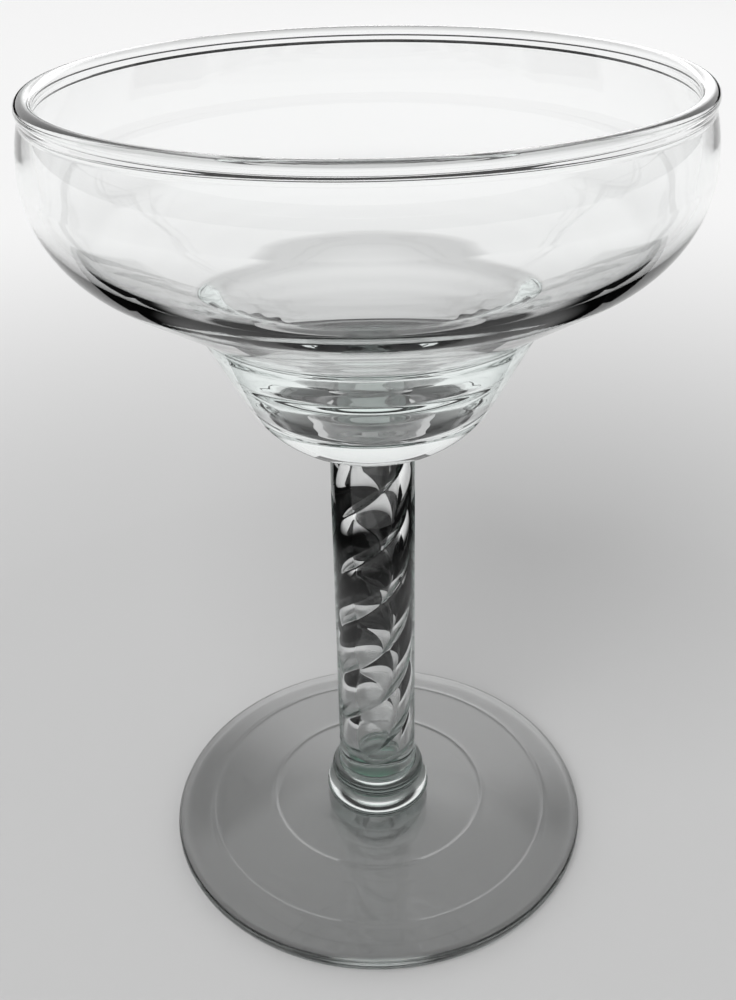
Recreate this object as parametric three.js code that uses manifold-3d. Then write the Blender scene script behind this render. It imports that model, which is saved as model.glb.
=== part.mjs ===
// Stemmed sherbet glass: a stepped bowl, an air-twist stem, a two-ring collar and a round foot, in clear glass.
// Millimetres, +Z up, with the origin on the table under the glass's axis.
// The pieces are shaped apart and welded hot, so each ends in the flat round face that its neighbour sits on.

import * as THREE from 'three';
import { mergeVertices, toCreasedNormals } from 'three/addons/utils/BufferGeometryUtils.js';
import Module from 'manifold-3d';

// Foot: a shallow crowned disc with a full-round edge, standing on a flat ring round a shallow hollow
const FOOT_RADIUS = 42.5;
const FOOT_EDGE_HEIGHT = 3.4;
const FOOT_HEIGHT = 5.5;
const FOOT_CROWN = 0.34;
const FOOT_REST_WIDTH = 5.8;
const FOOT_HOLLOW = 1.2;

// Collar: two buttons of glass, whose sides swell past the faces that they are welded by
const LOWER_RING_RADIUS = 10.6;
const LOWER_RING_HEIGHT = 4.7;
const LOWER_RING_SWELL = 1.8;
const UPPER_RING_RADIUS = 9.4;
const UPPER_RING_HEIGHT = 4.1;
const UPPER_RING_SWELL = 1.3;

// Stem: a slightly tapered rod, flared on to the collar and drawn in under the bowl
const STEM_LENGTH = 74.3;
const STEM_FOOT_RADIUS = 7.75;
const STEM_TOP_RADIUS = 7.6;
const STEM_FLARE_HEIGHT = 1;
const STEM_FLARE_FILLET = 1.5;
const STEM_WELD_RADIUS = 7.3;
const STEM_NECK_LENGTH = 2.1;
const STEM_NECK_FILLET = 6;

// Air twist: a lobed hollow that turns as it rises, round at the bottom and closed at the top by the bowl
const TWIST_LOBES = 2;
const TWIST_LEAD = 23.5;
const TWIST_LOBE_RADIUS = 4.2;
const TWIST_WAIST_RADIUS = 3.6;
const TWIST_FLOOR = 0.9;
const TWIST_END_LENGTH = 4;

// Bowl, outside: heights are taken from the face that is welded to the stem
const BOWL_HEIGHT = 61.1;
const CUP_RADIUS = 17.1;
const CUP_RISE = 0.95;
const CUP_FILLET = 18;
const NECK_RADIUS = 29.5;
const NECK_HEIGHT = 25.2;
const NECK_FILLET = 2.5;
const BELLY_RADIUS = 52.46;
const SHOULDER_RISE = 14.9;
const SHOULDER_FILLET = 18;
const SIDE_LENGTH = 13.9;
const SIDE_FILLET = 27;
const BEAD_RADIUS = 1.35;
const RIM_RADIUS = 51.5;

// Bowl, inside: thicknesses are taken from the outside
const SIDE_WALL = 2.3;
const SHOULDER_WALL = 1.95;
const INNER_SHOULDER_FILLET = 13.4;
const LIP_INSET = 4.7;
const LIP_DROP = 0.7;
const LIP_FILLET = 6;
const FLOOR_THICKNESS = 7.9;
const FLOOR_WALL = 7.6;
const FLOOR_FILLET = 6.7;
const FLOOR_DOME = 1.5;

// Fineness of the facets
const WIDE_SEGMENTS = 64;
const SLIM_SEGMENTS = 48;
const TWIST_POINTS = 32;
const TWIST_ROWS_PER_TURN = 16;
const TWIST_END_ROWS = 4;
const ARC_SAG = 0.05;
const CURVE_STEPS = 5;
const SAME_POINT = 1e-3;

// Places where the bead leaves the outside and the inside of the wall, as angles round the bead
const BEAD_OUTER_ROOT = THREE.MathUtils.degToRad(-50);
const BEAD_INNER_ROOT = THREE.MathUtils.degToRad(215);

// Direction of the first lobe at the twist's bottom, and how sharp the grooves between lobes are: 1 is a plain V
const TWIST_START = THREE.MathUtils.degToRad(106);
const TWIST_GROOVE = 0.7;

// The stack, from the table up
const LOWER_RING_Z = FOOT_HEIGHT;
const UPPER_RING_Z = LOWER_RING_Z + LOWER_RING_HEIGHT;
const STEM_Z = UPPER_RING_Z + UPPER_RING_HEIGHT;
const BOWL_Z = STEM_Z + STEM_LENGTH;

const wasm = await Module();
wasm.setup();

const point = (r, z) => new THREE.Vector2(r, z);

// Points of a round arc about (r, z), from one angle to the other, close enough that no chord sags more than ARC_SAG
function arc(r, z, radius, from, to) {
  const step = 2 * Math.acos(1 - Math.min(ARC_SAG / radius, 1));
  const steps = Math.ceil(Math.abs(to - from) / step);
  return new THREE.EllipseCurve(r, z, radius, radius, from, to, to < from).getPoints(steps);
}

// A line through [r, z, fillet] corners: a fillet that needs more wall than there is beside it is made smaller
function rounded(corners) {
  const places = corners.map(([r, z]) => point(r, z));
  const ways = places.slice(1).map((place, i) => place.clone().sub(places[i]).normalize());
  const turns = places.map((_, i) => {
    const [before, after] = [ways[i - 1] ?? ways[i], ways[i] ?? ways[i - 1]];
    return Math.atan2(before.cross(after), before.dot(after));
  });
  const wanted = corners.map(([, , fillet = 0], i) => fillet * Math.tan(Math.abs(turns[i]) / 2));
  const shares = places.slice(1).map((place, i) => place.distanceTo(places[i]) / (wanted[i] + wanted[i + 1]));
  return places.flatMap((place, i) => {
    if (!wanted[i]) return [place];
    const reach = wanted[i] * Math.min(1, shares[i - 1], shares[i]);
    const radius = reach / Math.tan(turns[i] / 2);
    const start = place.clone().addScaledVector(ways[i - 1], -reach);
    const centre = start.clone().add(point(-ways[i - 1].y, ways[i - 1].x).multiplyScalar(radius));
    const from = start.clone().sub(centre).angle();
    return arc(centre.x, centre.y, Math.abs(radius), from, from + turns[i]);
  });
}

// A profile that starts and ends on the axis, turned about +Z
function revolve(profile, segments) {
  const points = profile.filter((place, i) => i === 0 || place.distanceTo(profile[i - 1]) > SAME_POINT);
  return new THREE.LatheGeometry(points, segments).rotateX(Math.PI / 2);
}

// A closed geometry as a solid that can be cut
function solid(geometry) {
  geometry.deleteAttribute('normal');
  geometry.deleteAttribute('uv');
  const merged = mergeVertices(geometry, SAME_POINT);
  const corners = merged.index.array;
  const triVerts = [];
  for (let i = 0; i < corners.length; i += 3) {
    const [a, b, c] = corners.slice(i, i + 3);
    if (a !== b && b !== c && c !== a) triVerts.push(a, b, c);
  }
  const vertProperties = new Float32Array(merged.attributes.position.array);
  return new wasm.Manifold(new wasm.Mesh({ numProp: 3, vertProperties, triVerts: new Uint32Array(triVerts) }));
}

function fromSolid(manifold) {
  const { vertProperties, triVerts } = manifold.getMesh();
  const geometry = new THREE.BufferGeometry();
  geometry.setAttribute('position', new THREE.BufferAttribute(vertProperties, 3));
  geometry.setIndex(new THREE.BufferAttribute(triVerts, 1));
  return geometry;
}

function foot() {
  const edge = FOOT_EDGE_HEIGHT / 2;
  const edgeStart = FOOT_RADIUS - edge;
  const restInner = edgeStart - FOOT_REST_WIDTH;
  const weld = LOWER_RING_RADIUS - LOWER_RING_SWELL;
  const hollow = new THREE.QuadraticBezierCurve(
    point(0, FOOT_HOLLOW), point(restInner / 2, FOOT_HOLLOW), point(restInner, 0));
  const middle = point((weld + edgeStart) / 2, (FOOT_HEIGHT + FOOT_EDGE_HEIGHT) / 2 + 2 * FOOT_CROWN);
  const crown = new THREE.QuadraticBezierCurve(
    point(edgeStart, FOOT_EDGE_HEIGHT), middle, point(weld, FOOT_HEIGHT));
  return revolve([
    ...hollow.getPoints(CURVE_STEPS),
    ...arc(edgeStart, edge, edge, -Math.PI / 2, Math.PI / 2),
    ...crown.getPoints(CURVE_STEPS),
    point(0, FOOT_HEIGHT),
  ], WIDE_SEGMENTS);
}

// One button of the collar: flat round faces with a swelling arc between them
function collarRing(radius, height, swell) {
  const nose = (height ** 2 / 4 + swell ** 2) / (2 * swell);
  const reach = Math.atan2(height / 2, nose - swell);
  return revolve([
    point(0, 0),
    ...arc(radius - nose, height / 2, nose, -reach, reach),
    point(0, height),
  ], SLIM_SEGMENTS);
}

// The hollow: a lobed section, extruded one unit per row, then each row is lifted, turned and sized in its place
function airTwist() {
  const section = new THREE.Shape();
  section.setFromPoints(Array.from({ length: TWIST_POINTS }, (_, i) => {
    const angle = (2 * Math.PI * i) / TWIST_POINTS;
    const share = Math.abs(Math.cos((TWIST_LOBES * angle) / 2)) ** TWIST_GROOVE;
    const r = THREE.MathUtils.lerp(TWIST_WAIST_RADIUS, TWIST_LOBE_RADIUS, share);
    return point(r * Math.cos(angle), r * Math.sin(angle));
  }));
  const straight = STEM_LENGTH - TWIST_FLOOR - TWIST_END_LENGTH;
  const straightRows = Math.ceil((straight / TWIST_LEAD) * TWIST_ROWS_PER_TURN);
  const rows = TWIST_END_ROWS + straightRows;
  const geometry = new THREE.ExtrudeGeometry(section, { depth: rows, steps: rows, bevelEnabled: false });
  const places = geometry.attributes.position;
  const place = new THREE.Vector3();
  const axis = new THREE.Vector3(0, 0, 1);
  for (let i = 0; i < places.count; i++) {
    place.fromBufferAttribute(places, i);
    const row = Math.round(place.z);
    const opening = Math.min(row / TWIST_END_ROWS, 1) * (Math.PI / 2);
    const risen = Math.max(row - TWIST_END_ROWS, 0) / (straightRows - 1);
    const lift = TWIST_END_LENGTH * (1 - Math.cos(opening)) + straight * risen;
    place.set(place.x * Math.sin(opening), place.y * Math.sin(opening), TWIST_FLOOR + lift);
    place.applyAxisAngle(axis, TWIST_START + (2 * Math.PI * lift) / TWIST_LEAD);
    places.setXYZ(i, ...place);
  }
  return geometry;
}

function stem() {
  const rod = revolve([
    point(0, 0),
    ...rounded([
      [UPPER_RING_RADIUS - UPPER_RING_SWELL, 0],
      [STEM_FOOT_RADIUS, STEM_FLARE_HEIGHT, STEM_FLARE_FILLET],
      [STEM_TOP_RADIUS, STEM_LENGTH - STEM_NECK_LENGTH, STEM_NECK_FILLET],
      [STEM_WELD_RADIUS, STEM_LENGTH],
    ]),
    point(0, STEM_LENGTH),
  ], SLIM_SEGMENTS);
  return fromSolid(solid(rod).subtract(solid(airTwist())));
}

function bowl() {
  const shoulder = NECK_HEIGHT + SHOULDER_RISE;
  const side = shoulder + SIDE_LENGTH;
  const bead = point(RIM_RADIUS - BEAD_RADIUS, BOWL_HEIGHT - BEAD_RADIUS);
  const rim = arc(bead.x, bead.y, BEAD_RADIUS, BEAD_OUTER_ROOT, BEAD_INNER_ROOT);
  const wallAtFloor = THREE.MathUtils.mapLinear(FLOOR_THICKNESS, CUP_RISE, NECK_HEIGHT, CUP_RADIUS, NECK_RADIUS);
  const outside = rounded([
    [STEM_WELD_RADIUS, 0],
    [CUP_RADIUS, CUP_RISE, CUP_FILLET],
    [NECK_RADIUS, NECK_HEIGHT, NECK_FILLET],
    [BELLY_RADIUS, shoulder, SHOULDER_FILLET],
    [BELLY_RADIUS, side, SIDE_FILLET],
    [...rim.at(0)],
  ]);
  const inside = rounded([
    [...rim.at(-1)],
    [BELLY_RADIUS - SIDE_WALL, side, SIDE_FILLET - SIDE_WALL],
    [BELLY_RADIUS - SIDE_WALL, shoulder + SHOULDER_WALL, INNER_SHOULDER_FILLET],
    [NECK_RADIUS - LIP_INSET, NECK_HEIGHT - LIP_DROP, LIP_FILLET],
    [wallAtFloor - FLOOR_WALL, FLOOR_THICKNESS, FLOOR_FILLET],
    [0, FLOOR_THICKNESS + FLOOR_DOME],
  ]);
  return revolve([point(0, 0), ...outside, ...rim, ...inside], WIDE_SEGMENTS);
}

function piece(name, height, geometry) {
  const material = new THREE.MeshStandardMaterial({
    color: 0xe3ece8, roughness: 0.04, metalness: 0, transparent: true, opacity: 0.35,
  });
  const mesh = new THREE.Mesh(toCreasedNormals(geometry, THREE.MathUtils.degToRad(40)), material);
  mesh.name = name;
  mesh.position.z = height;
  return mesh;
}

const glass = new THREE.Group();
glass.add(
  piece('foot', 0, foot()),
  piece('lower_collar_ring', LOWER_RING_Z, collarRing(LOWER_RING_RADIUS, LOWER_RING_HEIGHT, LOWER_RING_SWELL)),
  piece('upper_collar_ring', UPPER_RING_Z, collarRing(UPPER_RING_RADIUS, UPPER_RING_HEIGHT, UPPER_RING_SWELL)),
  piece('stem', STEM_Z, stem()),
  piece('bowl', BOWL_Z, bowl()),
);

export default glass;
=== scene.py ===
# %% [markdown]
# # A stemmed sherbet glass
# The glass is five gathers of clear glass, shaped apart and welded hot: a stepped bowl, a stem with a
# twist of air in it, two collar rings and a foot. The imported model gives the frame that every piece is
# fitted to.

# %% Load the frame
import math

import bmesh
import bpy
from mathutils import Matrix, Vector


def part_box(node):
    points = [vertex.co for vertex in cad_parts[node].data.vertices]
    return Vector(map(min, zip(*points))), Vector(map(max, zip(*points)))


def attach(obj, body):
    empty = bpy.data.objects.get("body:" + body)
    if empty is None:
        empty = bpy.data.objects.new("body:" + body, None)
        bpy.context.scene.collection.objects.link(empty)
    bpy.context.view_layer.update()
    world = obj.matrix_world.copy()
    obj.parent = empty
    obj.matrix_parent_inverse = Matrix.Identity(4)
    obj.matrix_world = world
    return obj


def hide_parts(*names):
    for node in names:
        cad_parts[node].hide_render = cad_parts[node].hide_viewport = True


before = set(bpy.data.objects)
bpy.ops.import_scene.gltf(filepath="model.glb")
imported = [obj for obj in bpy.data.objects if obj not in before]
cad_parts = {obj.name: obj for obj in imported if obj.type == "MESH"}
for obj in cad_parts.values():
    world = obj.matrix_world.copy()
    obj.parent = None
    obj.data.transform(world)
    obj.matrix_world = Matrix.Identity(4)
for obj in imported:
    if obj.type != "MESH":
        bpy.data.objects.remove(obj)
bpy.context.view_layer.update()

MM = 0.001
print("nodes:", ", ".join(sorted(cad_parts)))

# %% [markdown]
# ## Where the pieces meet
# A weld is a flat round face. The heights of the welds and the widest radius of each piece could be typed
# in again, but read from the frame they can't drift from it. All outlines below are drawn in millimetres
# and turned into metres at the end.

# %% Read heights and radii from the frame
FOOT_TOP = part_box("foot")[1].z / MM
RING_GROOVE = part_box("lower_collar_ring")[1].z / MM
STEM_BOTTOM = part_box("stem")[0].z / MM
STEM_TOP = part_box("stem")[1].z / MM
RIM_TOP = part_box("bowl")[1].z / MM
FOOT_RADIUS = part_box("foot")[1].x / MM
LOWER_RING_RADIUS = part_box("lower_collar_ring")[1].x / MM
UPPER_RING_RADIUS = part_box("upper_collar_ring")[1].x / MM
BELLY_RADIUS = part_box("bowl")[1].x / MM
print(f"welds at {FOOT_TOP:.1f}, {RING_GROOVE:.1f}, {STEM_BOTTOM:.1f} and {STEM_TOP:.1f} mm")

# %% [markdown]
# ## A pen for outlines
# Every piece of the glass is round, so one outline is enough to describe it. The outline is a chain of
# edges in the XZ plane: a straight stretch is an extruded point, and a round corner is a point spun about
# the corner's centre. Spin draws a true arc, which a bevel on a slanting corner doesn't.

# %% Draw lines and arcs
ARC_SAG = 0.004


def start_at(r, z):
    """Opens an outline with its first point."""
    outline = bmesh.new()
    return outline, outline.verts.new((r, 0, z))


def line_to(outline, last, r, z):
    """Extrudes the last point to a new place."""
    point = bmesh.ops.extrude_vert_indiv(outline, verts=[last])["verts"][0]
    point.co = (r, 0, z)
    return point


def arc_by(outline, last, centre, turn):
    """Spins the last point about a centre, anticlockwise for a positive turn."""
    radius = math.dist(centre, (last.co.x, last.co.z))
    step = 2 * math.acos(1 - ARC_SAG / radius)
    spun = bmesh.ops.spin(
        outline, geom=[last], cent=(centre[0], 0, centre[1]), axis=(0, -1, 0),
        angle=turn, steps=math.ceil(abs(turn) / step))
    return next(part for part in spun["geom_last"] if isinstance(part, bmesh.types.BMVert))


print(f"an arc strays {ARC_SAG} mm at most from the true curve")

# %% [markdown]
# ## Faint waves
# Glass that turns against a tool keeps faint waves, which draw fine lines in what shows through it. A bump
# in the material would leave the mesh smooth, so these are real waves in the outline, drawn step by step.

# %% Draw a rippled stretch
RIPPLE_STEPS = 10


def rippled_line(outline, last, r, z, waves, height):
    """Draws a straight stretch with faint waves that die away at both ends."""
    start = Vector((last.co.x, last.co.z))
    along = Vector((r, z)) - start
    side = Vector((-along.y, along.x)).normalized()
    steps = waves * RIPPLE_STEPS
    for i in range(1, steps + 1):
        share = i / steps
        swing = height * math.sin(2 * math.pi * waves * share) * math.sin(math.pi * share)
        last = line_to(outline, last, *(start + along * share + side * swing))
    return last


print(f"a wave has {RIPPLE_STEPS} steps")

# %% [markdown]
# ## Rounded corners
# A profile is easiest to read as its sharp corners, each with the radius that rounds it. The pen stops
# short of such a corner and spins round it, so the arc meets both stretches without a kink. A trial corner
# shows that the length comes out right.

# %% Draw a path through corners
TRIAL_SIDE = 10
TRIAL_FILLET = 2


def path_through(outline, last, *corners):
    """Draws lines through (r, z) corners, and rounds each (r, z, fillet) corner.

    A corner of (r, z, fillet, waves, height) also ripples the stretch before it.
    """
    places = [Vector((last.co.x, last.co.z))] + [Vector(corner[:2]) for corner in corners]
    for i, corner in enumerate(corners, start=1):
        if len(corner) == 2:
            last = line_to(outline, last, *corner)
            continue
        fillet, *ripple = corner[2:]
        inward = (places[i] - places[i - 1]).normalized()
        onward = (places[i + 1] - places[i]).normalized()
        turn = math.atan2(inward.cross(onward), inward.dot(onward))
        start = places[i] - inward * fillet * math.tan(abs(turn) / 2)
        if ripple:
            last = rippled_line(outline, last, *start, *ripple)
        else:
            last = line_to(outline, last, *start)
        side = Vector((-inward.y, inward.x)) * math.copysign(fillet, turn)
        last = arc_by(outline, last, start + side, turn)
    return last


trial, trial_pen = start_at(0, 0)
path_through(trial, trial_pen, (TRIAL_SIDE, 0, TRIAL_FILLET), (TRIAL_SIDE, TRIAL_SIDE))
trial_length = sum(edge.calc_length() for edge in trial.edges)
true_length = 2 * (TRIAL_SIDE - TRIAL_FILLET) + math.pi / 2 * TRIAL_FILLET
trial.free()
print(f"a trial corner is {trial_length:.2f} mm long, and {true_length:.2f} mm by formula")

# %% [markdown]
# ## From an outline to a shell
# A full spin about the stem's axis with its ends merged gives the shell, and merging the doubles closes it
# at the poles. A Screw modifier could turn it too, but then the welds couldn't be marked by their faces.

# %% Turn an outline about the stem
TURN_STEPS = 192
MERGE_DISTANCE = 1e-4


def turn_about_stem(outline):
    """Spins the outline once round the axis and closes it at the poles."""
    bmesh.ops.spin(
        outline, geom=outline.verts[:] + outline.edges[:], cent=(0, 0, 0), axis=(0, 0, 1),
        angle=2 * math.pi, steps=TURN_STEPS, use_merge=True)
    bmesh.ops.remove_doubles(outline, verts=outline.verts, dist=MERGE_DISTANCE)
    bmesh.ops.recalc_face_normals(outline, faces=outline.faces)
    return outline


print(f"a turn has {TURN_STEPS} steps")

# %% [markdown]
# ## Clear glass
# Soda-lime glass bends light with an index of about 1.52. It is never quite even: the surface has slow
# ripples from the mould and the tools, and thick places look faintly green. An even clear shader would
# look like plastic, so the ripples are a stretched noise on Object coordinates, as a very small bump. The
# green is an absorption inside the glass, so it grows with depth.

# %% Build a glass finish
GLASS_INDEX = 1.52
GLASS_DEPTH_TINT = (0.80, 0.90, 0.87, 1)
GLASS_DEPTH_DENSITY = 6.0
GLASS_TINTS = ((0.985, 0.992, 0.99, 1), (1.0, 1.0, 1.0, 1))
HAZE_SCALE = 55.0
HAZE_START = 0.35
HAZE_END = 0.75


def add_node(tree, kind, **settings):
    """Adds a shader node and sets its named inputs."""
    node = tree.nodes.new(kind)
    for name, value in settings.items():
        node.inputs[name.replace("_", " ")].default_value = value
    return node


def glass_finish(name, ripple_scale, ripple_height, haze):
    """Clear glass with tool ripples, faint surface haze and a green depth."""
    finish = bpy.data.materials.new(name)
    finish.use_nodes = True
    tree = finish.node_tree
    tree.nodes.clear()
    link = tree.links.new
    place = tree.nodes.new("ShaderNodeTexCoord")
    stretch = add_node(tree, "ShaderNodeMapping", Scale=ripple_scale)
    ripple = add_node(tree, "ShaderNodeTexNoise", Scale=1.0, Detail=0.0, Roughness=0.45)
    bump = add_node(tree, "ShaderNodeBump", Strength=1.0, Distance=ripple_height)
    cloud = add_node(tree, "ShaderNodeTexNoise", Scale=HAZE_SCALE, Detail=4.0, Roughness=0.6)
    haze_range = add_node(
        tree, "ShaderNodeMapRange", From_Min=HAZE_START, From_Max=HAZE_END, To_Min=0.0, To_Max=haze)
    tint = tree.nodes.new("ShaderNodeValToRGB")
    for stop, colour in zip(tint.color_ramp.elements, GLASS_TINTS):
        stop.color = colour
    surface = add_node(
        tree, "ShaderNodeBsdfPrincipled", IOR=GLASS_INDEX, Transmission_Weight=1.0, Metallic=0.0)
    depth = add_node(
        tree, "ShaderNodeVolumeAbsorption", Color=GLASS_DEPTH_TINT, Density=GLASS_DEPTH_DENSITY)
    output = tree.nodes.new("ShaderNodeOutputMaterial")
    link(place.outputs["Object"], stretch.inputs["Vector"])
    link(stretch.outputs["Vector"], ripple.inputs["Vector"])
    link(ripple.outputs["Fac"], bump.inputs["Height"])
    link(bump.outputs["Normal"], surface.inputs["Normal"])
    link(place.outputs["Object"], cloud.inputs["Vector"])
    link(cloud.outputs["Fac"], haze_range.inputs["Value"])
    link(haze_range.outputs["Result"], surface.inputs["Roughness"])
    link(cloud.outputs["Fac"], tint.inputs["Fac"])
    link(tint.outputs["Color"], surface.inputs["Base Color"])
    link(surface.outputs["BSDF"], output.inputs["Surface"])
    link(depth.outputs["Volume"], output.inputs["Volume"])
    print(f"finish: {name}")
    return finish


face_gleam = ((GLASS_INDEX - 1) / (GLASS_INDEX + 1)) ** 2
print(f"a face of the glass reflects {face_gleam:.1%} of the light that meets it head on")

# %% [markdown]
# ## The four finishes
# The blown bowl is the smoothest. The drawn stem has streaks along its length, and the pressed collar and
# foot have shorter, stronger ripples from their tools. One material could serve all the pieces, but then
# its ripples would run the same way everywhere. So each finish is one row: how fast its ripples change
# along X, Y and Z, how high they are in metres, and how rough the haziest places are.

# %% Make the finishes
RIPPLES = {
    "bowl_glass": ((14, 14, 60), 0.000005, 0.02),
    "stem_glass": ((120, 120, 12), 0.00002, 0.02),
    "collar_glass": ((60, 60, 200), 0.00003, 0.02),
    "foot_glass": ((40, 40, 20), 0.00004, 0.03),
}
glass = {name: glass_finish(name, *ripple) for name, ripple in RIPPLES.items()}

# %% [markdown]
# ## Fused welds
# Two gathers that are welded hot become one body of glass, and nothing shows at the joint. A Boolean could
# join them, but each piece stands for a node of the frame, so they stay apart. The faces that touch get a
# finish with no surface at all: light passes straight from one piece to the next.

# %% Build the weld finish
fused_weld = bpy.data.materials.new("fused_weld")
fused_weld.use_nodes = True
weld_tree = fused_weld.node_tree
weld_surface = weld_tree.nodes["Principled BSDF"]
weld_surface.inputs["Alpha"].default_value = 0.0
weld_depth = add_node(
    weld_tree, "ShaderNodeVolumeAbsorption", Color=GLASS_DEPTH_TINT, Density=GLASS_DEPTH_DENSITY)
weld_tree.links.new(weld_depth.outputs["Volume"], weld_tree.nodes["Material Output"].inputs["Volume"])
print("weld cover:", weld_surface.inputs["Alpha"].default_value)

# %% [markdown]
# ## From a shell to a piece
# A piece is a shell with its finishes, and it stands for one node of the frame. Smooth shading alone would
# smear the flat welds into the curves beside them, so edges sharper than a soft fold are marked sharp.

# %% Make a shell an object of the frame
SHARP_FOLD = math.radians(35)
FLAT_WITHIN = 1e-3


def mark_weld(shell, height, radius):
    """Gives the faces of one flat round weld the second material."""
    for face in shell.faces:
        middle = face.calc_center_median()
        flat = all(abs(vert.co.z - height) < FLAT_WITHIN for vert in face.verts)
        if flat and middle.xy.length < radius:
            face.material_index = 1


def make_piece(shell, name, node, slot):
    """Turns a shell in millimetres into an object in metres that stands for a node of the frame."""
    bmesh.ops.scale(shell, vec=(MM, MM, MM), verts=shell.verts)
    for edge in shell.edges:
        edge.smooth = edge.calc_face_angle(0) < SHARP_FOLD
    for face in shell.faces:
        face.smooth = True
    open_edges = sum(not edge.is_manifold for edge in shell.edges)
    mesh = bpy.data.meshes.new(name)
    shell.to_mesh(mesh)
    shell.free()
    mesh.materials.append(glass[slot])
    mesh.materials.append(fused_weld)
    piece = bpy.data.objects.new(name, mesh)
    bpy.context.scene.collection.objects.link(piece)
    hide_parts(node)
    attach(piece, "root")
    print(f"{name}: {len(mesh.polygons)} faces, {open_edges} open edges")


print(f"a fold is sharp from {math.degrees(SHARP_FOLD):.0f} degrees")

# %% [markdown]
# ## The outside of the bowl
# The bowl is blown in a mould: a small thick cup, a step at the neck, a slope, a round shoulder and a side
# that leans in to the rim. A cylinder with cut loops could be pushed to this form, but an outline that is
# turned keeps every radius exact. Each rise is counted from the top of the stem.

# %% Set out the outside
STEM_WELD_RADIUS = 7.3
CUP_RADIUS = 17.1
CUP_RISE = 0.95
CUP_FILLET = 18
NECK_RADIUS = 29.5
NECK_RISE = 25.2
NECK_FILLET = 2.5
SHOULDER_RISE = 40.1
SHOULDER_FILLET = 18
SIDE_RISE = 54.0
SIDE_FILLET = 27
SHOULDER_HEIGHT = STEM_TOP + SHOULDER_RISE
SIDE_HEIGHT = STEM_TOP + SIDE_RISE

outside = (
    (STEM_WELD_RADIUS, STEM_TOP),
    (CUP_RADIUS, STEM_TOP + CUP_RISE, CUP_FILLET),
    (NECK_RADIUS, STEM_TOP + NECK_RISE, NECK_FILLET),
    (BELLY_RADIUS, SHOULDER_HEIGHT, SHOULDER_FILLET),
    (BELLY_RADIUS, SIDE_HEIGHT, SIDE_FILLET))
print(f"neck {2 * NECK_RADIUS:.1f} mm across, belly {2 * BELLY_RADIUS:.1f} mm")

# %% [markdown]
# ## The rim
# The cut edge of the bowl is melted until it draws itself into a small round bead, a little thicker than
# the wall. A torus could be set on the edge, but it would leave a crease. So the bead is one arc of the
# outline, and a tangent at each of its ends gives the corner where it runs into the wall.

# %% Set out the bead
RIM_RADIUS = 51.5
BEAD_RADIUS = 1.35
BEAD_CENTRE = Vector((RIM_RADIUS - BEAD_RADIUS, RIM_TOP - BEAD_RADIUS))
BEAD_START = math.radians(-20)
BEAD_END = math.radians(192)
BEAD_ROOT = 0.9
BEAD_FILLET = 2


def on_bead(angle, beyond=0.0):
    """A point of the rim's bead, or one beyond it on the tangent there."""
    outward = Vector((math.cos(angle), math.sin(angle)))
    onward = Vector((-math.sin(angle), math.cos(angle)))
    return tuple(BEAD_CENTRE + BEAD_RADIUS * outward + beyond * onward)


print(f"rim {2 * RIM_RADIUS:.1f} mm across, bead {2 * BEAD_RADIUS:.1f} mm thick")

# %% [markdown]
# ## The inside of the bowl
# The inside follows the outside loosely, because the glass is thick at the step and in the cup, whose
# floor has a low dome. Solidify would give an even wall, which thick glass doesn't have, so the inside is
# drawn as an outline of its own. Faint waves run down the slope and the cup.

# %% Set out the inside
SIDE_WALL = 2.3
SHOULDER_WALL = 1.95
INNER_SHOULDER_FILLET = 13.4
LIP_RADIUS = 24.8
LIP_RISE = 24.5
LIP_FILLET = 6
SLOPE_RIPPLE = (5, 0.006)
CUP_FLOOR_RADIUS = 13.05
CUP_FLOOR_RISE = 7.9
CUP_FLOOR_FILLET = 6.7
CUP_RIPPLE = (3, 0.05)
DOME_RADIUS = 3
DOME_RISE = 1.16
DOME_FILLET = 20
CUP_FLOOR = STEM_TOP + CUP_FLOOR_RISE
DOME_TOP = CUP_FLOOR + DOME_RISE

inside = (
    (BELLY_RADIUS - SIDE_WALL, SIDE_HEIGHT, SIDE_FILLET - SIDE_WALL),
    (BELLY_RADIUS - SIDE_WALL, SHOULDER_HEIGHT + SHOULDER_WALL, INNER_SHOULDER_FILLET),
    (LIP_RADIUS, STEM_TOP + LIP_RISE, LIP_FILLET, *SLOPE_RIPPLE),
    (CUP_FLOOR_RADIUS, CUP_FLOOR, CUP_FLOOR_FILLET, *CUP_RIPPLE),
    (DOME_RADIUS, DOME_TOP, DOME_FILLET),
    (0, DOME_TOP))
print(f"side wall {SIDE_WALL} mm, cup floor {CUP_FLOOR_RISE + DOME_RISE:.1f} mm thick in the middle")

# %% [markdown]
# ## Turning the bowl
# The outside, the bead and the inside make one outline from pole to pole, so a single turn gives a closed
# body of glass, and no walls have to be joined afterwards. The flat face at its bottom is the weld on to
# the stem.

# %% Draw and turn the bowl
outline, pen = start_at(0, STEM_TOP)
pen = path_through(
    outline, pen, *outside, (*on_bead(BEAD_START, -BEAD_ROOT), BEAD_FILLET), on_bead(BEAD_START))
pen = arc_by(outline, pen, BEAD_CENTRE, BEAD_END - BEAD_START)
path_through(outline, pen, (*on_bead(BEAD_END, BEAD_ROOT), BEAD_FILLET), *inside)
bowl_shell = turn_about_stem(outline)
mark_weld(bowl_shell, STEM_TOP, STEM_WELD_RADIUS)
make_piece(bowl_shell, "bowl_piece", "bowl", "bowl_glass")

# %% [markdown]
# ## The section of the air twist
# A bubble is pressed into the hot gather, and the rod is drawn and turned, so the bubble becomes a lobed
# hollow that winds up the stem. A turned outline can't give that, so the hollow starts from its section: a
# circle whose points are moved out to two lobes, with narrow grooves between them.

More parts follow.
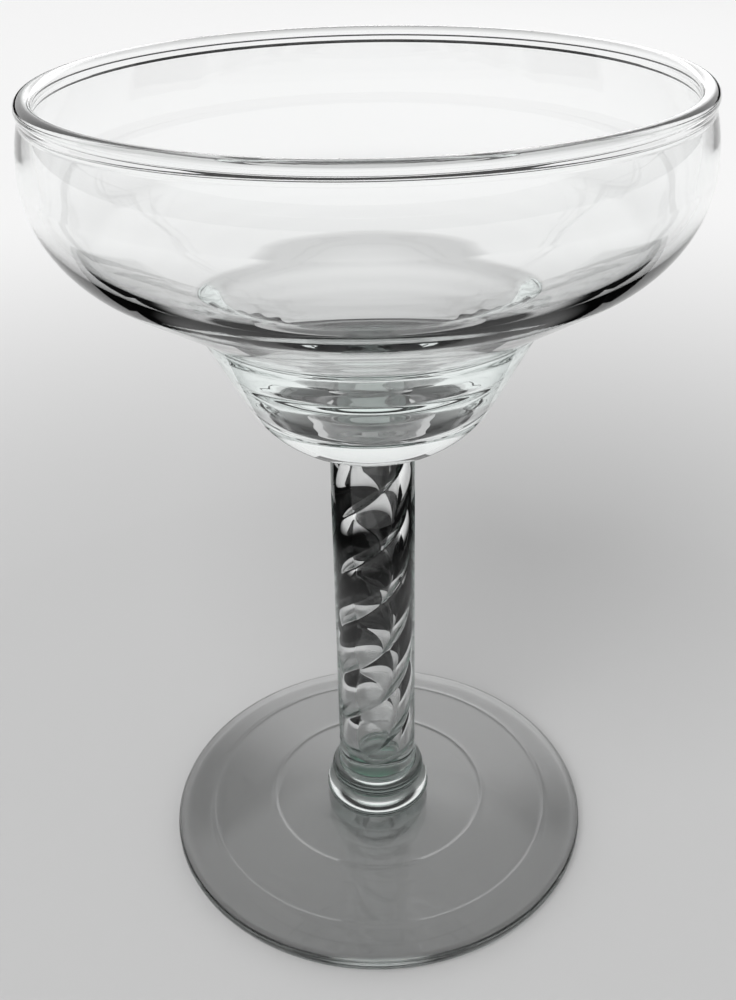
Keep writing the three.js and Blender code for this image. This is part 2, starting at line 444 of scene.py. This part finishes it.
# %% Draw the section
TWIST_LOBES = 2
TWIST_LEAD = 23.5
TWIST_LOBE_RADIUS = 4.2
TWIST_WAIST_RADIUS = 3.6
TWIST_START = math.radians(106)
TWIST_GROOVE = 0.7
GROOVE_ROUNDING = 0.002
TWIST_POINTS = 96
TWIST_TIP = 4.0
TWIST_BOTTOM_WALL = 0.9
TWIST_BOTTOM = STEM_BOTTOM + TWIST_BOTTOM_WALL


def turn_over(rise):
    """The angle that the hollow winds through over a rise."""
    return 2 * math.pi * rise / TWIST_LEAD


def lobed_ring(twist):
    """A ring of the hollow's section where its tip ends."""
    ring = bmesh.ops.create_circle(twist, segments=TWIST_POINTS, radius=1.0)["verts"]
    for vert in ring:
        angle = math.atan2(vert.co.y, vert.co.x)
        share = (math.cos(TWIST_LOBES * angle / 2) ** 2 + GROOVE_ROUNDING) ** (TWIST_GROOVE / 2)
        vert.co *= TWIST_WAIST_RADIUS + (TWIST_LOBE_RADIUS - TWIST_WAIST_RADIUS) * share
    turned = Matrix.Rotation(TWIST_START + turn_over(TWIST_TIP), 3, "Z")
    bmesh.ops.rotate(twist, verts=ring, cent=(0, 0, 0), matrix=turned)
    bmesh.ops.translate(twist, verts=ring, vec=(0, 0, TWIST_BOTTOM + TWIST_TIP))
    return twist.edges[:]


twist = bmesh.new()
first_ring = lobed_ring(twist)
print(f"section: {len(first_ring)} edges at a height of {TWIST_BOTTOM + TWIST_TIP:.1f} mm")

# %% [markdown]
# ## Winding the hollow
# A Simple Deform modifier could twist a straight hollow, but a spin with a rise at each step is a screw,
# which makes the whole wall in one go. The lower end closes in a round tip: each ring of it is extruded
# down, drawn in and turned back by what the lead asks for.

# %% Wind the hollow and close its tip
TWIST_STEP = 0.5
TWIST_TIP_RINGS = 12
TWIST_TOP_WALL = 0.2
TWIST_TOP = STEM_TOP - TWIST_TOP_WALL


def close_tip(twist, ring_edges):
    """Extrudes the ring down into a round tip."""
    depth = 0.0
    size = 1.0
    for i in range(1, TWIST_TIP_RINGS):
        angle = math.pi / 2 * i / TWIST_TIP_RINGS
        made = bmesh.ops.extrude_edge_only(twist, edges=ring_edges)["geom"]
        verts = [part for part in made if isinstance(part, bmesh.types.BMVert)]
        ring_edges = [part for part in made if isinstance(part, bmesh.types.BMEdge)]
        ring_edges = [edge for edge in ring_edges if all(vert in verts for vert in edge.verts)]
        drop = TWIST_TIP * math.sin(angle) - depth
        shrink = math.cos(angle) / size
        turned = Matrix.Rotation(-turn_over(drop), 3, "Z")
        bmesh.ops.scale(twist, vec=(shrink, shrink, 1), verts=verts)
        bmesh.ops.rotate(twist, verts=verts, cent=(0, 0, 0), matrix=turned)
        bmesh.ops.translate(twist, verts=verts, vec=(0, 0, -drop))
        depth += drop
        size *= shrink
    bmesh.ops.edgeloop_fill(twist, edges=ring_edges)


rise = TWIST_TOP - TWIST_BOTTOM - TWIST_TIP
twist_steps = round(rise / TWIST_STEP)
screwed = bmesh.ops.spin(
    twist, geom=first_ring, cent=(0, 0, 0), axis=(0, 0, 1), dvec=(0, 0, rise / twist_steps),
    angle=turn_over(rise), steps=twist_steps)
top_ring = [part for part in screwed["geom_last"] if isinstance(part, bmesh.types.BMEdge)]
bmesh.ops.edgeloop_fill(twist, edges=top_ring)
close_tip(twist, first_ring)
bmesh.ops.recalc_face_normals(twist, faces=twist.faces)
bmesh.ops.reverse_faces(twist, faces=twist.faces)
hollow = bpy.data.meshes.new("air_twist")
twist.to_mesh(hollow)
twist.free()
print(f"air twist: {rise / TWIST_LEAD:.2f} turns above its tip, {len(hollow.polygons)} faces")

# %% [markdown]
# ## The stem
# The stem is a drawn rod, a little thicker at the bottom, with a flare on to the collar and a drawn-in
# neck under the bowl. A Boolean could cut the hollow, but the hollow lies wholly inside the glass, so it
# is just added to the same mesh with its faces turned to the air inside it.

# %% Draw and turn the stem
STEM_FOOT_RADIUS = 7.75
STEM_FLARE_RISE = 1
STEM_FLARE_FILLET = 1.5
STEM_TOP_RADIUS = 7.6
STEM_NECK_DROP = 2.1
STEM_NECK_FILLET = 6
UPPER_RING_SWELL = 1.3
UPPER_RING_WELD = UPPER_RING_RADIUS - UPPER_RING_SWELL

outline, pen = start_at(0, STEM_BOTTOM)
path_through(
    outline, pen, (UPPER_RING_WELD, STEM_BOTTOM),
    (STEM_FOOT_RADIUS, STEM_BOTTOM + STEM_FLARE_RISE, STEM_FLARE_FILLET),
    (STEM_TOP_RADIUS, STEM_TOP - STEM_NECK_DROP, STEM_NECK_FILLET),
    (STEM_WELD_RADIUS, STEM_TOP), (0, STEM_TOP))
stem_shell = turn_about_stem(outline)
mark_weld(stem_shell, STEM_BOTTOM, UPPER_RING_WELD)
mark_weld(stem_shell, STEM_TOP, STEM_WELD_RADIUS)
stem_shell.from_mesh(hollow)
make_piece(stem_shell, "stem_piece", "stem", "stem_glass")

# %% [markdown]
# ## The collar
# Two buttons of glass sit between the stem and the foot. Each is a flat disc with a swelling side. A
# squashed sphere would give the swelling but not the flat welds, so the side is an arc from the lower face
# through the widest place to the upper one.

# %% Draw and turn the two rings
LOWER_RING_SWELL = 1.8
LOWER_RING_WELD = LOWER_RING_RADIUS - LOWER_RING_SWELL


def ring_shell(radius, weld, bottom, top, top_weld):
    """A button of glass whose side is one arc."""
    half = (top - bottom) / 2
    swell = radius - weld
    nose = (half ** 2 + swell ** 2) / (2 * swell)
    outline, pen = start_at(0, bottom)
    pen = line_to(outline, pen, weld, bottom)
    pen = arc_by(outline, pen, (radius - nose, (top + bottom) / 2), 2 * math.atan2(half, nose - swell))
    path_through(outline, pen, (top_weld, top), (0, top))
    shell = turn_about_stem(outline)
    mark_weld(shell, bottom, weld)
    mark_weld(shell, top, top_weld)
    return shell


lower_shell = ring_shell(LOWER_RING_RADIUS, LOWER_RING_WELD, FOOT_TOP, RING_GROOVE, UPPER_RING_WELD)
make_piece(lower_shell, "lower_collar_piece", "lower_collar_ring", "collar_glass")
upper_shell = ring_shell(UPPER_RING_RADIUS, UPPER_RING_WELD, RING_GROOVE, STEM_BOTTOM, UPPER_RING_WELD)
make_piece(upper_shell, "upper_collar_piece", "upper_collar_ring", "collar_glass")

# %% [markdown]
# ## The foot
# The foot is pressed flat with a wooden tool while it turns, which leaves a low crown, a full-round edge
# and two faint rings. It stands on a flat ring round a shallow hollow. Rings in a bump would be missing
# from the mesh, so they are part of the outline, which is drawn in steps fine enough to hold them.

# %% Draw and turn the foot
FOOT_EDGE = 1.7
FOOT_REST_WIDTH = 5.8
FOOT_HOLLOW = 1.2
HOLLOW_STEPS = 24
CROWN_SLOPE = 0.38
CROWN_STEPS = 200
TOOL_RINGS = (22.0, 35.0)
TOOL_RING_WIDTH = 0.5
TOOL_RING_HEIGHT = 0.12
CROWN_RADIUS = FOOT_RADIUS - FOOT_EDGE
CROWN_DROP = FOOT_TOP - 2 * FOOT_EDGE
FOOT_REST_INNER = CROWN_RADIUS - FOOT_REST_WIDTH


def crown_height(r):
    """Height of the foot's top: a low curve with two faint raised rings."""
    out = (r - LOWER_RING_WELD) / (CROWN_RADIUS - LOWER_RING_WELD)
    curve = FOOT_TOP - CROWN_DROP * out * (CROWN_SLOPE + (1 - CROWN_SLOPE) * out)
    ridge = sum(math.exp(-((r - ring) / TOOL_RING_WIDTH) ** 2) for ring in TOOL_RINGS)
    return curve + TOOL_RING_HEIGHT * ridge


outline, pen = start_at(0, FOOT_HOLLOW)
for i in range(1, HOLLOW_STEPS + 1):
    r = FOOT_REST_INNER * i / HOLLOW_STEPS
    pen = line_to(outline, pen, r, FOOT_HOLLOW * (1 - (r / FOOT_REST_INNER) ** 2))
pen = line_to(outline, pen, CROWN_RADIUS, 0)
pen = arc_by(outline, pen, (CROWN_RADIUS, FOOT_EDGE), math.pi)
for i in range(1, CROWN_STEPS):
    r = CROWN_RADIUS + (LOWER_RING_WELD - CROWN_RADIUS) * i / CROWN_STEPS
    pen = line_to(outline, pen, r, crown_height(r))
path_through(outline, pen, (LOWER_RING_WELD, FOOT_TOP), (0, FOOT_TOP))
foot_shell = turn_about_stem(outline)
mark_weld(foot_shell, FOOT_TOP, LOWER_RING_WELD)
make_piece(foot_shell, "foot_piece", "foot", "foot_glass")

# %% [markdown]
# ## The camera
# The camera looks down on the rim by about thirty degrees from close by, so that the foot looks much
# smaller than the bowl. A camera set by eye makes the glass lean or spread, so its place was worked out
# from the ellipses of the rim and the foot.

# %% Place the camera
CAMERA_PLACE = Vector((-0.00023, -0.17953, 0.18136))
CAMERA_PITCH = math.radians(30.395)
CAMERA_YAW = math.radians(-0.225)
CAMERA_ROLL = math.radians(-1.135)
CAMERA_LENS = 41.14
CAMERA_SENSOR = 36
CAMERA_NEAR = 0.001

ahead = Vector((
    math.sin(CAMERA_YAW) * math.cos(CAMERA_PITCH),
    math.cos(CAMERA_YAW) * math.cos(CAMERA_PITCH),
    -math.sin(CAMERA_PITCH)))
level_right = Vector((math.cos(CAMERA_YAW), -math.sin(CAMERA_YAW), 0))
level_up = level_right.cross(ahead)
right = level_right * math.cos(CAMERA_ROLL) + level_up * math.sin(CAMERA_ROLL)
up = level_up * math.cos(CAMERA_ROLL) - level_right * math.sin(CAMERA_ROLL)
camera = bpy.data.objects.new("camera", bpy.data.cameras.new("camera"))
camera.matrix_world = Matrix((right, up, -ahead)).transposed().to_4x4()
camera.location = CAMERA_PLACE
camera.data.sensor_width = CAMERA_SENSOR
camera.data.lens = CAMERA_LENS
camera.data.clip_start = CAMERA_NEAR
bpy.context.scene.collection.objects.link(camera)
bpy.context.scene.camera = camera
print(f"camera {CAMERA_PLACE.length / MM:.0f} mm from the middle of the foot")

# %% [markdown]
# ## Paint and painted shade for the floor
# The floor is plain and pale, with a painted pool of shade that makes it darker near the glass than far
# away, so that the bright rim and the edge of the foot stand out from it. An image could hold that fade. A
# tone that changes smoothly with the distance from the origin needs no image, and the cards and the panel
# below can fade in the same way.

# %% Paint that changes with its reach
# The near tone is a painted shade round the glass; the far tone is the floor's own pale colour.
FLOOR_PAINTED_SHADE = 0.60
FLOOR_FAR = 0.96
PAINTED_SHADE_FADE = (0.10, 0.50)
FLOOR_ROUGHNESS = 0.9
FLOOR_GLOSS = 0.1


def fade_with_reach(tree, start, end, **levels):
    """Nodes for a number that changes smoothly between two distances from the origin, from 0 to 1 unless
    levels are given."""
    place = tree.nodes.new("ShaderNodeTexCoord")
    reach = tree.nodes.new("ShaderNodeVectorMath")
    reach.operation = "LENGTH"
    fade = add_node(tree, "ShaderNodeMapRange", From_Min=start, From_Max=end, **levels)
    fade.interpolation_type = "SMOOTHSTEP"
    tree.links.new(place.outputs["Object"], reach.inputs[0])
    tree.links.new(reach.outputs["Value"], fade.inputs["Value"])
    return fade.outputs["Result"]


floor_paint_with_painted_shade = bpy.data.materials.new("floor_paint_with_painted_shade")
floor_paint_with_painted_shade.use_nodes = True
floor_surface = floor_paint_with_painted_shade.node_tree.nodes["Principled BSDF"]
floor_surface.inputs["Roughness"].default_value = FLOOR_ROUGHNESS
floor_surface.inputs["Specular IOR Level"].default_value = FLOOR_GLOSS
# The floor's colour fades from a painted shade near the glass to its own pale colour far away.
floor_tone_with_painted_shade = fade_with_reach(
    floor_paint_with_painted_shade.node_tree, *PAINTED_SHADE_FADE, To_Min=FLOOR_PAINTED_SHADE, To_Max=FLOOR_FAR)
floor_paint_with_painted_shade.node_tree.links.new(floor_tone_with_painted_shade, floor_surface.inputs["Base Color"])
print(f"floor tone: {FLOOR_PAINTED_SHADE} near the glass, {FLOOR_FAR} far away")

# %% [markdown]
# ## The floor
# The floor is one flat sheet, far wider than the glass. It could be an object that is scaled up, but a
# sheet whose mesh has its true size keeps the fade of its painted shade true too. It lies a hair below the
# foot, because two faces in one plane give blotches.

# %% Lay the floor
FLOOR_SIZE = 6.0
FLOOR_DROP = 0.0003


def flat_sheet(width, depth, centre):
    """A level sheet about a centre, in metres."""
    sheet = bmesh.new()
    bmesh.ops.create_grid(sheet, x_segments=1, y_segments=1, size=0.5)
    bmesh.ops.scale(sheet, vec=(width, depth, 1), verts=sheet.verts)
    bmesh.ops.translate(sheet, vec=centre, verts=sheet.verts)
    return sheet


def stage_sheet(name, sheet, finish):
    """Makes a sheet in metres an object of the scene, with one finish."""
    mesh = bpy.data.meshes.new(name)
    sheet.to_mesh(mesh)
    sheet.free()
    mesh.materials.append(finish)
    stand = bpy.data.objects.new(name, mesh)
    bpy.context.scene.collection.objects.link(stand)
    print(f"stage: {name}")
    return stand


stage_sheet("floor", flat_sheet(FLOOR_SIZE, FLOOR_SIZE, (0, 0, -FLOOR_DROP)), floor_paint_with_painted_shade)

# %% [markdown]
# ## A dark band round the glass
# Clear glass has no colour of its own: it is drawn by what it bends into view. In a white room it almost
# vanishes, so a photographer sets black cards round it, which give it dark lines. These cards are hidden
# from the camera and cast no shadow, so they show only in the glass. The first is a band that stands
# round the glass, for the air twist and the cup. It fades out at its top, because a hard edge would draw
# a line of its own.

# %% Stand the band
CARD_BLACK = (0.006, 0.006, 0.006, 1)
BAND_REACH = 54
BAND_SOLID = 42
BAND_TOP = 54


def turned_sheet(start, end):
    """A sheet that one line, in millimetres, makes when it is turned about the stem."""
    outline, pen = start_at(*start)
    line_to(outline, pen, *end)
    turn_about_stem(outline)
    bmesh.ops.scale(outline, vec=(MM, MM, MM), verts=outline.verts)
    return outline


def dark_card(name, sheet, fade):
    """A black card that shows only in the glass. It covers nothing at the first reach of its fade and all
    at the second."""
    black = bpy.data.materials.new(f"{name}_black")
    black.use_nodes = True
    surface = black.node_tree.nodes["Principled BSDF"]
    surface.inputs["Base Color"].default_value = CARD_BLACK
    surface.inputs["Specular IOR Level"].default_value = 0.0
    black.node_tree.links.new(fade_with_reach(black.node_tree, *fade), surface.inputs["Alpha"])
    card = stage_sheet(name, sheet, black)
    card.visible_camera = False
    card.visible_diffuse = False
    card.visible_shadow = False
    return card


band_fade = [math.hypot(BAND_REACH, height) * MM for height in (BAND_TOP, BAND_SOLID)]
band = dark_card("standing_card", turned_sheet((BAND_REACH, 0), (BAND_REACH, BAND_TOP)), band_fade)
band.visible_glossy = False

# %% [markdown]
# ## Dark cards further out
# A ring and two sheets lie further out for the shoulder, and a low wall far away draws the rim. One card
# behind the glass would do for one view, but cards on all sides serve every view.

# %% Lay the other cards
RING_REACH = (90, 139)
RING_LIFT = 0.6
RING_FADE = (0.090, 0.125)
SIDE_CARD = (0.182, 0.18)
SIDE_CARD_X = 0.209
SIDE_CARD_Y = 0.01
SIDE_CARD_LIFT = 0.0003
WALL_REACH = 2900
WALL_HEIGHT = 350

ring_inner, ring_outer = RING_REACH
dark_card("ring_card", turned_sheet((ring_inner, RING_LIFT), (ring_outer, RING_LIFT)), RING_FADE)
for name, side in (("left_card", -1), ("right_card", 1)):
    middle = (side * SIDE_CARD_X, SIDE_CARD_Y, SIDE_CARD_LIFT)
    dark_card(name, flat_sheet(*SIDE_CARD, middle), RING_FADE)
dark_card("low_wall", turned_sheet((WALL_REACH, 0), (WALL_REACH, WALL_HEIGHT)), RING_FADE)

# %% [markdown]
# ## A soft panel behind the glass
# A large soft panel stands high behind the glass. An area lamp has a hard edge, so the panel is a glowing
# sheet that fades out towards its edge. It shows only as a reflection: a veil of light on the foot, which
# brings out the tool rings, and small bright lines on the rim and the collar.

# %% Hang the panel
PANEL_SIZE = 1.2
PANEL_FADE = (0.58, 0.30)
PANEL_STRENGTH = 3.0
PANEL_DISTANCE = 1.2
PANEL_RISE = math.radians(26)
PANEL_SWING = math.radians(-6)

panel_cloth = bpy.data.materials.new("panel_cloth")
panel_cloth.use_nodes = True
panel_surface = panel_cloth.node_tree.nodes["Principled BSDF"]
panel_surface.inputs["Base Color"].default_value = (0, 0, 0, 1)
panel_surface.inputs["Emission Color"].default_value = (1, 1, 1, 1)
panel_surface.inputs["Emission Strength"].default_value = PANEL_STRENGTH
panel_cover = fade_with_reach(panel_cloth.node_tree, *PANEL_FADE)
panel_cloth.node_tree.links.new(panel_cover, panel_surface.inputs["Alpha"])
panel = stage_sheet("soft_panel", flat_sheet(PANEL_SIZE, PANEL_SIZE, (0, 0, 0)), panel_cloth)
panel_turn = Matrix.Rotation(PANEL_SWING, 4, "Z") @ Matrix.Rotation(PANEL_RISE + math.pi / 2, 4, "X")
panel.matrix_world = panel_turn @ Matrix.Translation((0, 0, -PANEL_DISTANCE))
panel.visible_camera = False
panel.visible_diffuse = False
panel.visible_transmission = False
panel.visible_shadow = False

# %% [markdown]
# ## The surround
# The surround is a plain white, seen directly and through the glass, and it lights the scene evenly from
# all sides. One strength could serve for both, but the Light Path node tells them apart, so the surround
# can look almost white while the light on the floor stays soft.

# %% Light the surround
WORLD_LIGHT = 0.62
WORLD_SEEN = 0.93

world = bpy.data.worlds.new("surround")
world.use_nodes = True
bpy.context.scene.world = world
world_tree = world.node_tree
surround = world_tree.nodes["Background"]
surround.inputs["Color"].default_value = (1, 1, 1, 1)
ray = world_tree.nodes.new("ShaderNodeLightPath")
seen = ray.outputs["Is Camera Ray"]
for kind in ("Is Glossy Ray", "Is Transmission Ray"):
    either = world_tree.nodes.new("ShaderNodeMath")
    either.operation = "MAXIMUM"
    world_tree.links.new(seen, either.inputs[0])
    world_tree.links.new(ray.outputs[kind], either.inputs[1])
    seen = either.outputs["Value"]
strength = add_node(world_tree, "ShaderNodeMapRange", To_Min=WORLD_LIGHT, To_Max=WORLD_SEEN)
world_tree.links.new(seen, strength.inputs["Value"])
world_tree.links.new(strength.outputs["Result"], surround.inputs["Strength"])
print(f"surround: lights with {WORLD_LIGHT}, seen as {WORLD_SEEN}")

# %% [markdown]
# ## A soft sun
# One broad soft sun adds a direction, so that the glass keeps a faint shadow. It isn't seen in the glass
# itself, because a lamp's image would be a hard bright spot.

# %% Hang the sun
SUN_STRENGTH = 1.4
SUN_SPREAD = math.radians(40)
SUN_TILT = (math.radians(38), math.radians(-20), 0)

sun = bpy.data.lights.new("soft_sun", "SUN")
sun.energy = SUN_STRENGTH
sun.angle = SUN_SPREAD
lamp = bpy.data.objects.new("soft_sun", sun)
lamp.rotation_euler = SUN_TILT
lamp.visible_glossy = False
lamp.visible_transmission = False
bpy.context.scene.collection.objects.link(lamp)
print(f"sun: strength {SUN_STRENGTH}, {math.degrees(SUN_SPREAD):.0f} degrees wide")

# %% [markdown]
# ## Light through thick glass
# A ray crosses many walls of the glass before it leaves, so it needs more bounces than the defaults allow.
# With too few, the thick places turn black.

# %% Set bounces and view
LIGHT_BOUNCES = 32
GLOSSY_BOUNCES = 12

scene = bpy.context.scene
scene.view_settings.view_transform = "Standard"
scene.cycles.max_bounces = LIGHT_BOUNCES
scene.cycles.transmission_bounces = LIGHT_BOUNCES
scene.cycles.transparent_max_bounces = LIGHT_BOUNCES
scene.cycles.glossy_bounces = GLOSSY_BOUNCES
print(f"bounces: {LIGHT_BOUNCES} through glass, {GLOSSY_BOUNCES} off it")
